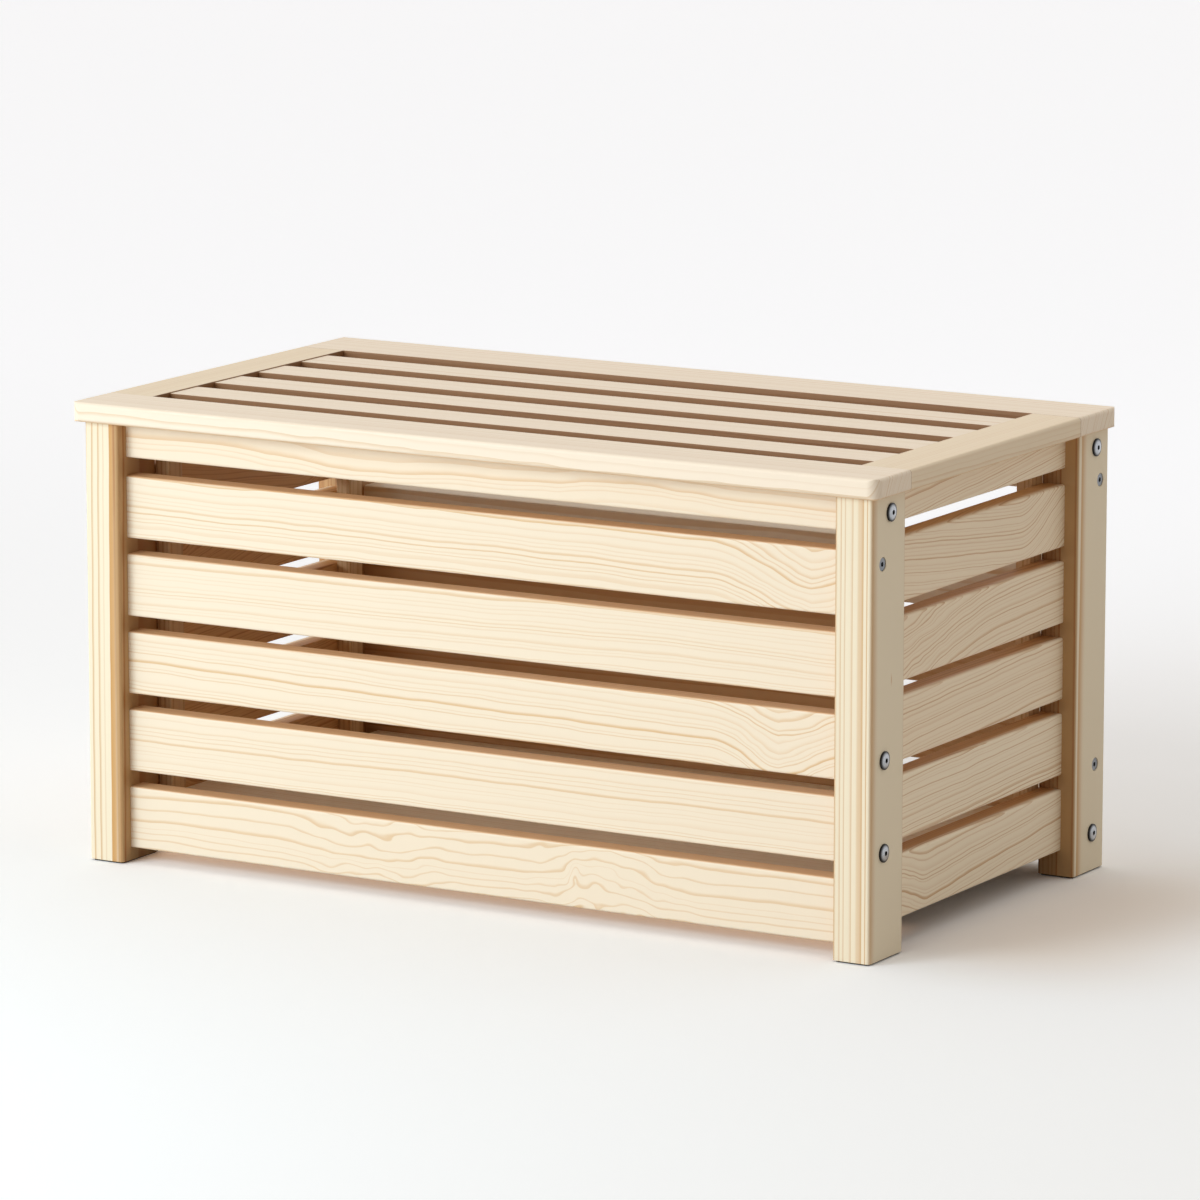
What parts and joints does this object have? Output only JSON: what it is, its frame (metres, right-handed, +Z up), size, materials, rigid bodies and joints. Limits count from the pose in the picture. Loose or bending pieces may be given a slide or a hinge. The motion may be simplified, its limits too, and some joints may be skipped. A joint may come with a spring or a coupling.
{
  "type": "storage trunk",
  "caption": "Slatted pine storage trunk on four legs, with a hinged slatted lid that opens past upright and bolted corner legs, for papers and keepsakes.",
  "frame": {"origin": "on the floor, under the middle of the box that holds the closed trunk", "axes": "+X along the trunk to the right, +Y to the hinged back, +Z up"},
  "size_m": [0.818, 0.4638, 0.42],
  "materials": {
    "leg_pine": "satin",
    "panel_pine": "satin",
    "inner_pine": "matte",
    "bottom_plywood": "matte",
    "lid_pine": "satin",
    "beech_dowel": "matte",
    "foot_pad": "matte",
    "bolt_steel": "gloss",
    "zinc_steel": "satin",
    "hinge_steel": "satin"
  },
  "bodies": {
    "chest": {"leg_front_left": "leg_pine", "leg_front_right": "leg_pine", "leg_back_left": "leg_pine", "leg_back_right": "leg_pine", "front_rail": "panel_pine", "front_slat_1": "panel_pine", "front_slat_2": "panel_pine", "front_slat_3": "panel_pine", "front_slat_4": "panel_pine", "front_slat_5": "panel_pine", "hinge_rail": "panel_pine", "back_slat_1": "panel_pine", "back_slat_2": "panel_pine", "back_slat_3": "panel_pine", "back_slat_4": "panel_pine", "left_rail": "panel_pine", "left_slat_1": "panel_pine", "left_slat_2": "panel_pine", "left_slat_3": "panel_pine", "left_slat_4": "panel_pine", "left_slat_5": "panel_pine", "right_rail": "panel_pine", "right_slat_1": "panel_pine", "right_slat_2": "panel_pine", "right_slat_3": "panel_pine", "right_slat_4": "panel_pine", "right_slat_5": "panel_pine", "batten_front_left": "inner_pine", "batten_front_right": "inner_pine", "batten_back_left": "inner_pine", "batten_back_right": "inner_pine", "front_ledger": "inner_pine", "back_ledger": "inner_pine", "bottom_panel": "bottom_plywood", "panel_dowels": "beech_dowel", "end_dowels": "beech_dowel", "foot_pads": "foot_pad", "frame_bolts": "bolt_steel", "frame_screws": "bolt_steel", "barrel_nuts": "zinc_steel", "batten_screws": "zinc_steel", "ledger_screws": "zinc_steel", "hinge_fixed_screws": "zinc_steel", "hinge_left_fixed_leaf": "hinge_steel", "hinge_left_pin": "hinge_steel", "hinge_right_fixed_leaf": "hinge_steel", "hinge_right_pin": "hinge_steel"},
    "lid": {"lid_front_rail": "lid_pine", "lid_back_rail": "lid_pine", "lid_left_rail": "lid_pine", "lid_right_rail": "lid_pine", "lid_slat_1": "lid_pine", "lid_slat_2": "lid_pine", "lid_slat_3": "lid_pine", "lid_slat_4": "lid_pine", "lid_dowels": "beech_dowel", "hinge_left_lid_leaf": "hinge_steel", "hinge_right_lid_leaf": "hinge_steel", "hinge_lid_screws": "zinc_steel"}
  },
  "joints": [
    {"name": "lid_hinge", "type": "hinge", "parent": "chest", "child": "lid", "pos_m": [0, 0.22361, 0.402], "axis": [-1, 0, 0], "range_deg": [0, 98]}
  ]
}
